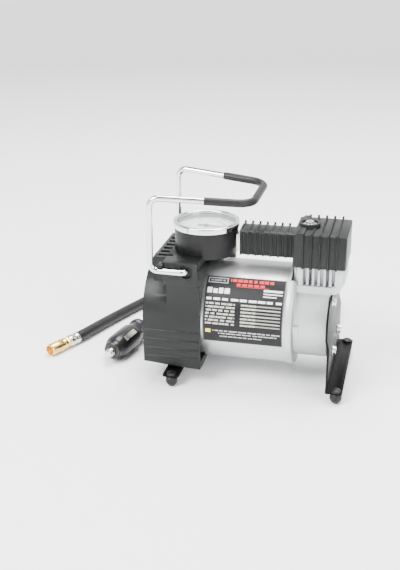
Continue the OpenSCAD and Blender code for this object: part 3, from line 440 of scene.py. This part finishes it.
def all_finishes(settings):
    """One material for each slot of the record."""
    cast = tuple(settings.cast_colour)
    cover = tuple(settings.cover_colour)
    silver = tuple(settings.can_colour)
    return {
        "can_silver": silver_paint("can_silver_paint", silver),
        "label_black": label_print("label_print"),
        "cast_alloy": metal("cast_alloy", cast, 0.44, 0.00009, 1100.0, 0.14, metallic=0.85),
        "zinc_steel": metal("zinc_plate", (0.78, 0.79, 0.80), 0.24, 0.00001),
        "ground_steel": turned_metal("ground_steel", (0.52, 0.53, 0.55), 0.3, 0),
        "magnet_grey": metal("ferrite", (0.09, 0.09, 0.1), 0.6, 0.00004, metallic=0.4),
        "bronze": metal("bronze", (0.62, 0.42, 0.2), 0.35, 0.00002),
        "carbon": plastic("carbon", (0.03, 0.03, 0.032), 0.7),
        "copper": turned_metal("copper", (0.70, 0.32, 0.16), 0.28, 0),
        "rod_alloy": metal("rod_alloy", (0.62, 0.62, 0.64), 0.45, 0.00005),
        "seal_white": plastic("seal_white", (0.78, 0.77, 0.73), 0.4),
        "cover_black": plastic("cover_black", cover, 0.38, 0.00004, 1300.0),
        "nickel": metal("nickel_plate", (0.74, 0.71, 0.62), 0.22, 0.00001),
        "gauge_black": plastic("gauge_black", (0.006, 0.006, 0.0065), 0.4, 0.00003, 1500.0),
        "chrome": metal("chrome_plate", (0.86, 0.87, 0.89), 0.09, 0.0, spread=0.05),
        "lens_clear": dressed_lens("lens_clear"),
        "dial_white": dial_print("dial_print"),
        "needle_orange": needle_paint("needle_paint"),
        "switch_black": plastic("switch_black", (0.008, 0.008, 0.009), 0.26, 0.00001, coat=0.3),
        "rubber_black": rubber("rubber_black", (0.006, 0.006, 0.0062), 0.44),
        "bracket_black": plastic("stove_enamel", (0.004, 0.004, 0.0045), 0.34, 0.00002, 420.0, shine=0.06),
        "chuck_brass": turned_metal("turned_brass", (0.86, 0.60, 0.20), 0.2, 2),
    }


# ---------------------------------------------------------------- meshes


def finish_of(node):
    """The material slot that the record gives a node."""
    for part in frame["record"]["subparts"]:
        if part["node"] == node:
            return part["material_slot"]
    raise RuntimeError(f"the record has no node {node}")


def dress(obj, slot):
    """Gives an object the material of a slot."""
    material = bpy.data.materials[bpy.context.scene["finish_" + slot]]
    obj.data.materials.clear()
    obj.data.materials.append(material)


def piece(name, mesh, body, slot, replaced=()):
    """Links a new mesh as a piece that rides on a body, in a slot's finish, in place of CAD nodes."""
    obj = bpy.data.objects.new(name, mesh)
    bpy.context.scene.collection.objects.link(obj)
    dress(obj, slot)
    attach(obj, body)
    if replaced:
        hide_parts(*replaced)
    return obj


def smooth(mesh, angle=32.0):
    """Shades a mesh smoothly, apart from edges sharper than the angle."""
    mesh.polygons.foreach_set("use_smooth", [True] * len(mesh.polygons))
    mesh.set_sharp_from_angle(angle=math.radians(angle))
    mesh.update()


def softened(node, width, segments=2, angle=40.0):
    """A copy of a CAD node with its edges rounded, in place of the node."""
    source = frame["nodes"][node]
    shell = bmesh.new()
    shell.from_mesh(source.data)
    bmesh.ops.remove_doubles(shell, verts=shell.verts, dist=1e-6)
    bmesh.ops.dissolve_limit(shell, angle_limit=math.radians(0.4), verts=shell.verts, edges=shell.edges)
    mesh = bpy.data.meshes.new(node + "_soft")
    shell.to_mesh(mesh)
    shell.free()
    obj = piece(node + "_soft", mesh, source["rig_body"], finish_of(node), [node])
    bevel = obj.modifiers.new("round", "BEVEL")
    bevel.width = width
    bevel.segments = segments
    bevel.limit_method = "ANGLE"
    bevel.angle_limit = math.radians(angle)
    bevel.use_clamp_overlap = True
    bpy.context.view_layer.update()
    rounded = bpy.data.meshes.new_from_object(obj.evaluated_get(bpy.context.evaluated_depsgraph_get()))
    obj.modifiers.clear()
    rounded.name = mesh.name
    obj.data = rounded
    smooth(rounded)
    return obj


def smooth_path(points, step):
    """A smooth curve through given points, resampled about every step."""
    ends = [points[0] * 2 - points[1], *points, points[-1] * 2 - points[-2]]
    path = []
    for a, b, c, d in zip(ends, ends[1:], ends[2:], ends[3:], strict=False):
        count = max(1, round((c - b).length / step))
        for i in range(count):
            t = i / count
            path.append(
                0.5 * (2 * b + (c - a) * t + (2 * a - 5 * b + 4 * c - d) * t * t + (3 * b - a - 3 * c + d) * t**3)
            )
    return [*path, points[-1]]


def rounded_corners(points, radii, steps=10):
    """A path with each corner turned into an arc of its own radius."""
    path = [points[0]]
    for before, corner, after, radius in zip(points, points[1:], points[2:], radii, strict=False):
        u = (corner - before).normalized()
        v = (after - corner).normalized()
        turn = u.angle(v)
        inward = (v - u * u.dot(v)).normalized()
        centre = corner - u * radius * math.tan(turn / 2) + inward * radius
        for k in range(steps + 1):
            a = turn * k / steps
            path.append(centre + radius * (u * math.sin(a) - inward * math.cos(a)))
    return [*path, points[-1]]


def length_of(path):
    return sum((b - a).length for a, b in zip(path, path[1:], strict=False))


def tube(name, path, radii, sides=20):
    """A round tube along a path, with a radius for each point, carried along without twist."""
    if not hasattr(radii, "__len__"):
        radii = [radii] * len(path)
    shell = bmesh.new()
    rings = []
    side = None
    for i, spot in enumerate(path):
        ahead = (path[min(i + 1, len(path) - 1)] - path[max(i - 1, 0)]).normalized()
        if side is None:
            side = ahead.orthogonal().normalized()
        side = (side - ahead * ahead.dot(side)).normalized()
        up = ahead.cross(side)
        rings.append(
            [
                shell.verts.new(spot + radii[i] * (side * math.cos(a) + up * math.sin(a)))
                for a in (math.tau * k / sides for k in range(sides))
            ]
        )
    for a, b in zip(rings, rings[1:], strict=False):
        for k in range(sides):
            shell.faces.new((a[k], a[(k + 1) % sides], b[(k + 1) % sides], b[k]))
    shell.faces.new(list(reversed(rings[0])))
    shell.faces.new(rings[-1])
    bmesh.ops.recalc_face_normals(shell, faces=shell.faces)
    mesh = bpy.data.meshes.new(name)
    shell.to_mesh(mesh)
    shell.free()
    smooth(mesh, 50.0)
    return mesh


def turned(name, profile, centre, closed=True, segments=96):
    """A mesh turned about a vertical axis from a profile of (radius, height)."""
    shell = bmesh.new()
    rings = []
    for radius, height in profile:
        if radius < 1e-9:
            rings.append([shell.verts.new((centre.x, centre.y, height))])
            continue
        angles = (math.tau * k / segments for k in range(segments))
        rings.append(
            [
                shell.verts.new((centre.x + radius * math.cos(a), centre.y + radius * math.sin(a), height))
                for a in angles
            ]
        )
    pairs = list(zip(rings, rings[1:], strict=False))
    if closed:
        pairs.append((rings[-1], rings[0]))
    for a, b in pairs:
        for k in range(segments if max(len(a), len(b)) > 1 else 0):
            j = (k + 1) % segments
            corners = [a[k % len(a)], a[j % len(a)], b[j % len(b)], b[k % len(b)]]
            shell.faces.new(list(dict.fromkeys(corners)))
    bmesh.ops.recalc_face_normals(shell, faces=shell.faces)
    mesh = bpy.data.meshes.new(name)
    shell.to_mesh(mesh)
    shell.free()
    smooth(mesh, 35.0)
    return mesh


# ---------------------------------------------------------------- properties


class InflatorSettings(bpy.types.PropertyGroup):
    """Sizes and colours of the dressing."""

    can_colour: bpy.props.FloatVectorProperty(
        name="Can colour", description="Silver lacquer on the motor can",
        subtype="COLOR", size=3, min=0.0, max=1.0, default=(0.60, 0.61, 0.62),
    )
    cast_colour: bpy.props.FloatVectorProperty(
        name="Casting colour", description="Crankcase and cylinder castings",
        subtype="COLOR", size=3, min=0.0, max=1.0, default=(0.60, 0.61, 0.62),
    )
    cover_colour: bpy.props.FloatVectorProperty(
        name="Cover colour", description="Moulded covers over the head, the pipe and the motor's end",
        subtype="COLOR", size=3, min=0.0, max=1.0, default=(0.0055, 0.0065, 0.006),
    )
    edge_round: bpy.props.FloatProperty(
        name="Edge rounding", description="Radius on the edges of mouldings and castings",
        default=0.00035, min=0.0001, max=0.001, unit="LENGTH",
    )
    wire_diameter: bpy.props.FloatProperty(
        name="Handle wire", description="Diameter of the chromed handle wire",
        default=0.0048, min=0.004, max=0.0048, unit="LENGTH",
    )
    hose_diameter: bpy.props.FloatProperty(
        name="Hose diameter", description="Outer diameter of the air hose",
        default=0.0093, min=0.008, max=0.0093, unit="LENGTH",
    )
    lead_diameter: bpy.props.FloatProperty(
        name="Lead diameter", description="Outer diameter of the 12 volt lead",
        default=0.006, min=0.005, max=0.006, unit="LENGTH",
    )
    coil_layers: bpy.props.IntProperty(
        name="Coil layers", description="Layers of the wound lead, three turns in each",
        default=4, min=2, max=4,
    )
    floor_size: bpy.props.FloatProperty(
        name="Floor size", description="Diameter of the round backdrop",
        default=4.4, min=3.0, max=10.0, unit="LENGTH",
    )
    lens_length: bpy.props.FloatProperty(
        name="Camera lens", description="Focal length on a 36 mm sensor",
        default=58.24, min=20.0, max=200.0, unit="CAMERA",
    )


# ---------------------------------------------------------------- operators

# Nodes whose edges are rounded, and the share of the edge rounding that each group gets
SOFTENED = (
    ("shroud rear_cap crankcase", 1.0),
    ("finned_cylinder right_bracket left_bracket switch_body switch_rocker", 0.8),
    ("motor_can bracket_screws gauge_fitting shroud_screw shroud_washer", 0.5),
    ("plug_body plug_tip chuck_sleeve chuck_barb hose_ferrule hose_outlet rubber_feet", 0.5),
)

# Profiles of the gauge in millimetres: radius and height above the motor's axis
CASE_PROFILE = (
    (0, 46.5), (23.0, 46.5), (23.6, 46.62), (24.05, 46.95), (24.2, 47.5), (25.05, 68.6),
    (24.9, 68.9), (23.4, 68.9), (23.1, 65.7), (21.9, 65.7), (21.9, 48.7), (0, 48.7),
)
RIM_PROFILE = (
    (25.3, 67.6), (25.8, 67.62), (26.0, 67.8), (26.0, 71.0), (25.85, 71.65), (25.45, 72.12), (24.9, 72.3),
    (23.7, 72.3), (23.2, 72.18), (22.7, 71.75), (22.6, 71.5), (22.6, 70.55), (25.3, 70.55),
)

# Routes in millimetres: the hose from its elbow to the ferrule, the lead from the strain
# relief to the coil, and the lead from the coil to the plug
HOSE_ROUTE = (
    (8, 52, 40), (8, 52, 28), (8, 52, 14), (8, 52, 0), (7.8, 52.5, -12),
    (7, 55.5, -24), (5, 62, -34.5), (2.5, 72, -42), (0, 83, -46), (-2.5, 95, -46.95),
    (-6, 107, -46.95), (-13, 119, -46.95), (-24, 129, -46.95), (-38, 134.5, -46.95),
    (-52, 134.5, -46.95), (-65, 129, -46.95), (-75, 119, -46.95), (-82, 107, -46.95),
    (-87.5, 94, -46.95), (-94, 78, -46.95), (-101, 60, -46.9), (-107.5, 42, -46.75),
    (-112.8, 26, -46.5), (-116.5, 15.5, -46.45), (-118.6, 10.5, -46.45),
)
SUPPLY_ROUTE = (
    (-32, 43, -26), (-32, 54, -26), (-32, 65.5, -26), (-32, 72, -26.4), (-31.2, 79, -27.6),
    (-28.5, 86.5, -29.4), (-23.5, 94, -31.2), (-17, 100.5, -32.6), (-9.5, 106, -33.4),
    (-2, 111.5, -33.3), (4.5, 117, -32.2), (10.2, 122.6, -30.7), (18.0, 130.9, -29.7),
)
PLUG_ROUTE = (
    (33, 66.2, -48.5), (20, 66.2, -48.5), (7, 66.2, -48.5), (-6, 66.1, -48.5), (-20, 65.9, -48.5),
    (-34, 65.2, -48.5), (-46, 63, -48.5), (-55, 58.5, -47.9), (-61, 52.5, -45.6),
    (-64.3, 46.4, -42.6), (-65.87, 41.3, -41.35),
)

# The coil: its middle, the radii of its columns and the heights of its layers above the floor,
# the bearing at which the lead joins it, and the angle that it winds through
COIL_CENTRE = (50, 106)
COIL_COLUMNS = (39.8, 33.4, 27.0)
COIL_HEIGHTS = (22.0, 15.7, 9.4, 3.1)
COIL_START = 125.0
COIL_SWEEP = 4175.0

# The plug's side spring: how far along the plug and how far above the barrel its middle line lies
SPRING_LINE = ((20.5, -0.5), (22, 0.06), (26, 0.32), (30, 0.42), (34, 0.32), (37.5, 0.06), (38.5, -0.5))


class INFLATOR_OT_finishes(bpy.types.Operator):
    """Make the finishes and put them on every CAD node"""

    bl_idname = "inflator.finishes"
    bl_label = "Finishes"

    def execute(self, context):
        finishes = all_finishes(context.scene.inflator)
        for slot, material in finishes.items():
            context.scene["finish_" + slot] = material.name
        for name, node in frame["nodes"].items():
            slot = finish_of(name)
            if slot not in finishes:
                raise RuntimeError(f"no finish for slot {slot}")
            dress(node, slot)
        return {"FINISHED"}


class INFLATOR_OT_shells(bpy.types.Operator):
    """Round the edges of the mouldings, castings and sheet metal"""

    bl_idname = "inflator.shells"
    bl_label = "Shells"

    def execute(self, context):
        edge = context.scene.inflator.edge_round
        for nodes, share in SOFTENED:
            for node in nodes.split():
                softened(node, edge * share)
        return {"FINISHED"}


class INFLATOR_OT_gauge(bpy.types.Operator):
    """Turn the gauge's case and its rolled rim"""

    bl_idname = "inflator.gauge"
    bl_label = "Gauge"

    def execute(self, context):
        centre = middle("gauge_dial")
        for node, profile, closed in (("gauge_case", CASE_PROFILE, False), ("gauge_bezel", RIM_PROFILE, True)):
            metres = [(r * MM, AXIS_Z + z * MM) for r, z in profile]
            mesh = turned(node + "_turned", metres, centre, closed)
            piece(node + "_turned", mesh, "base", finish_of(node), [node])
        return {"FINISHED"}


class INFLATOR_OT_handle(bpy.types.Operator):
    """Bend the chromed handle and slide its rubber sleeve on"""

    bl_idname = "inflator.handle"
    bl_label = "Handle"

    def execute(self, context):
        _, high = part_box("handle_wire")
        thick = context.scene.inflator.wire_diameter / MM / 2
        pivot_x, pivot_z, side = -7.46, 42.77, high.y / MM - thick
        corner = (40.5, -29.5, 95.6)
        half = [
            (pivot_x, -36.0, pivot_z),
            (pivot_x, -side, pivot_z),
            (-34.5, -side, 43.2),
            (-33.6, -side, 100.1),
            corner,
        ]
        bends = [3.2, 6.5, 6.5, 14.0]
        both = half + [(x, -y, z) for x, y, z in reversed(half)]
        wire = rounded_corners([place(*p) for p in both], [b * MM for b in bends + bends[::-1]])
        piece("handle_bar", tube("handle_bar", wire, thick * MM, 20), "handle", "chrome", ["handle_wire"])
        along = 0.532
        grip_half = [tuple(a + (b - a) * along for a, b in zip(half[3], corner, strict=True)), corner]
        both = grip_half + [(x, -y, z) for x, y, z in reversed(grip_half)]
        line = rounded_corners([place(*p) for p in both], [14.0 * MM] * 2, 14)
        lead_in = (line[1] - line[0]).normalized()
        lead_out = (line[-2] - line[-1]).normalized()
        path, radii = [], []
        for reach, radius in ((0.0, thick + 0.05), (0.05, 2.75), (0.35, 2.92), (0.8, 2.99)):
            path.append(line[0] + lead_in * reach * MM)
            radii.append(radius * MM)
        path += line[1:-1]
        radii += [2.99 * MM] * (len(line) - 2)
        for reach, radius in ((0.8, 2.99), (0.35, 2.92), (0.05, 2.75), (0.0, thick + 0.05)):
            path.append(line[-1] + lead_out * reach * MM)
            radii.append(radius * MM)
        piece("handle_sleeve", tube("handle_sleeve", path, radii, 24), "handle", "rubber_black", ["handle_grip"])
        return {"FINISHED"}


class INFLATOR_OT_hose(bpy.types.Operator):
    """Lay the air hose from its elbow to the brass chuck"""

    bl_idname = "inflator.hose"
    bl_label = "Air hose"

    def execute(self, context):
        diameter = context.scene.inflator.hose_diameter
        path = smooth_path([place(*p) for p in HOSE_ROUTE], 3.0 * MM)
        mesh = tube("hose_tube", path, diameter / 2 - 0.02 * MM, 28)
        hose = piece("hose_tube", mesh, "base", "rubber_black", ["air_hose"])
        length_of(path)
        return {"FINISHED"}


def coil_path(centre, columns, heights, start, sweep):
    """The lead's turns: inwards along one layer and outwards along the next, wound clockwise."""
    path = []
    inner, pitch = columns[-1], columns[0] - columns[1]
    per_layer = len(columns)
    step = 6.0

    def eased(value, low):
        t = min(1.0, max(0.0, (value - low) / 45.0))
        return t * t * (3 - 2 * t)

    for k in range(int(sweep / step) + 1):
        turned = k * step
        whole, part = divmod(turned, 360.0)
        layer, turn = divmod(int(whole), per_layer)
        inward = layer % 2 == 0
        first = columns[0] if inward else inner
        radius = first + (-pitch if inward else pitch) * turn
        height = heights[layer]
        if turn < per_layer - 1:
            radius += (-pitch if inward else pitch) * eased(part, 300.0 - 95.0 * layer)
        elif layer < len(heights) - 1:
            height += (heights[layer + 1] - height) * eased(part, 250.0 - 95.0 * layer)
        angle = math.radians(start - turned)
        path.append(place(centre[0] + radius * math.cos(angle), centre[1] + radius * math.sin(angle), height))
    return path


class INFLATOR_OT_lead(bpy.types.Operator):
    """Run the 12 volt lead from its strain relief, round the coil, to the plug"""

    bl_idname = "inflator.lead"
    bl_label = "12 volt lead"

    def execute(self, context):
        settings = context.scene.inflator
        floor = -AXIS_Z / MM
        heights = [floor + h for h in COIL_HEIGHTS][-settings.coil_layers:]
        turns = coil_path(COIL_CENTRE, COIL_COLUMNS, heights, COIL_START, COIL_SWEEP)
        supply, plug = ([place(*p) for p in route] for route in (SUPPLY_ROUTE, PLUG_ROUTE))
        path = smooth_path([*supply, *turns, *plug], 4.0 * MM)
        lead = piece(
            "lead_cable", tube("lead_cable", path, settings.lead_diameter / 2 - 0.01 * MM, 14),
            "base", "rubber_black", ["supply_lead", "lead_coil"],
        )
        length_of(path)
        return {"FINISHED"}


class INFLATOR_OT_contact(bpy.types.Operator):
    """Bend the nickel side spring of the plug and set it in the barrel"""

    bl_idname = "inflator.contact"
    bl_label = "Plug's side spring"

    def execute(self, context):
        tip, rear = middle("plug_tip"), middle("plug_body")
        ahead = Vector((tip.x - rear.x, tip.y - rear.y, 0)).normalized()
        aside = ahead.cross(Vector((0, 0, 1)))
        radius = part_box("plug_body")[1].z - rear.z
        outward = (Vector((0, 0, 1)) * 0.8 - aside * 0.6).normalized()
        width = outward.cross(ahead)
        base = place(-68, 30, 0)
        base.z = rear.z
        shell = bmesh.new()
        rows = []
        for reach, lift in SPRING_LINE:
            row = []
            for rise, half in ((0.0, -2.1), (0.0, 2.1), (-0.35, 2.1), (-0.35, -2.1)):
                spot = base + ahead * reach * MM + outward * (radius + (lift + rise) * MM)
                row.append(shell.verts.new(spot + width * half * MM))
            rows.append(row)
        for a, b in zip(rows, rows[1:], strict=False):
            for k in range(4):
                shell.faces.new((a[k], a[(k + 1) % 4], b[(k + 1) % 4], b[k]))
        shell.faces.new(rows[0])
        shell.faces.new(reversed(rows[-1]))
        bmesh.ops.recalc_face_normals(shell, faces=shell.faces)
        mesh = bpy.data.meshes.new("plug_side_spring")
        shell.to_mesh(mesh)
        shell.free()
        smooth(mesh, 40.0)
        piece("plug_side_spring", mesh, "base", "nickel")
        return {"FINISHED"}


class INFLATOR_OT_stage(bpy.types.Operator):
    """Set the floor, the soft lights and the camera"""

    bl_idname = "inflator.stage"
    bl_label = "Stage"

    def execute(self, context):
        settings = context.scene.inflator
        self.floor(settings.floor_size)
        self.lights(context)
        self.camera(context, settings.lens_length)
        return {"FINISHED"}

    def floor(self, size):
        """A round floor that curves up into a wall on every side."""
        reach, radius = size / 2, size * 0.12
        profile = [(0.0, -0.0002), (reach * 0.4, -0.0002), (reach - radius, -0.0002)]
        for k in range(1, 13):
            a = math.pi / 2 * k / 12
            profile.append((reach - radius * (1 - math.sin(a)), radius * (1 - math.cos(a))))
        profile.append((reach, size * 0.45))
        mesh = turned("backdrop", profile, Vector((0, 0, 0)), False, 128)
        backdrop = bpy.data.objects.new("backdrop", mesh)
        bpy.context.scene.collection.objects.link(backdrop)
        backdrop.data.materials.append(floor_paper("backdrop_paper"))

    def lights(self, context):
        world = bpy.data.worlds.new("studio")
        world.use_nodes = True
        background = world.node_tree.nodes["Background"]
        background.inputs["Color"].default_value = (1.0, 1.0, 1.0, 1.0)
        background.inputs["Strength"].default_value = 0.2
        context.scene.world = world
        target = place(20, 0, 0)
        for name, spot, size, power in (
            ("key", (-0.70, -0.85, 1.15), 0.8, 52.0),
            ("fill", (1.10, -0.75, 0.80), 0.7, 16.0),
            ("top", (0.10, 0.35, 1.35), 0.9, 52.0),
        ):
            lamp = bpy.data.lights.new(name, "AREA")
            lamp.shape = "SQUARE"
            lamp.size = size
            lamp.energy = power
            obj = bpy.data.objects.new(name, lamp)
            context.scene.collection.objects.link(obj)
            obj.location = spot
            obj.rotation_euler = (target - Vector(spot)).to_track_quat("-Z", "Y").to_euler()

    def camera(self, context, lens):
        """Stands to the right of the front, looks down 22 degrees, and is rolled by half a degree."""
        azimuth, drop, roll = math.radians(13.794), math.radians(22.053), math.radians(-0.516)
        right = Vector((math.cos(azimuth), math.sin(azimuth), 0))
        level = Vector((-math.sin(azimuth), math.cos(azimuth), 0))
        ahead = level * math.cos(drop) - Vector((0, 0, math.sin(drop)))
        up = right.cross(ahead)
        across = right * math.cos(roll) + up * math.sin(roll)
        upright = up * math.cos(roll) - right * math.sin(roll)
        spot = place(156.903, -664.934, 293.807)
        data = bpy.data.cameras.new("photo_camera")
        data.lens = lens
        data.sensor_width = 36.0
        data.clip_start = 0.01
        data.clip_end = 20.0
        camera = bpy.data.objects.new("photo_camera", data)
        context.scene.collection.objects.link(camera)
        camera.matrix_world = Matrix(
            (
                (across.x, upright.x, -ahead.x, spot.x),
                (across.y, upright.y, -ahead.y, spot.y),
                (across.z, upright.z, -ahead.z, spot.z),
                (0, 0, 0, 1),
            )
        )
        context.scene.camera = camera


class INFLATOR_PT_panel(bpy.types.Panel):
    """Sizes, colours and the steps in order"""

    bl_idname = "INFLATOR_PT_panel"
    bl_label = "Inflator"
    bl_space_type = "VIEW_3D"
    bl_region_type = "UI"
    bl_category = "Inflator"

    def draw(self, context):
        settings = context.scene.inflator
        for name in InflatorSettings.__annotations__:
            self.layout.prop(settings, name)
        for operator in OPERATORS:
            self.layout.operator(operator.bl_idname)


OPERATORS = (
    INFLATOR_OT_finishes,
    INFLATOR_OT_shells,
    INFLATOR_OT_gauge,
    INFLATOR_OT_handle,
    INFLATOR_OT_hose,
    INFLATOR_OT_contact,
    INFLATOR_OT_lead,
    INFLATOR_OT_stage,
)
CLASSES = (InflatorSettings, *OPERATORS, INFLATOR_PT_panel)


def register():
    for cls in CLASSES:
        bpy.utils.register_class(cls)
    bpy.types.Scene.inflator = bpy.props.PointerProperty(type=InflatorSettings)


def unregister():
    del bpy.types.Scene.inflator
    for cls in reversed(CLASSES):
        bpy.utils.unregister_class(cls)


def main():
    register()
    bpy.ops.inflator.finishes()
    bpy.ops.inflator.shells()
    bpy.ops.inflator.gauge()
    bpy.ops.inflator.handle()
    bpy.ops.inflator.hose()
    bpy.ops.inflator.contact()
    bpy.ops.inflator.lead()
    bpy.ops.inflator.stage()


if __name__ == "__main__":
    main()
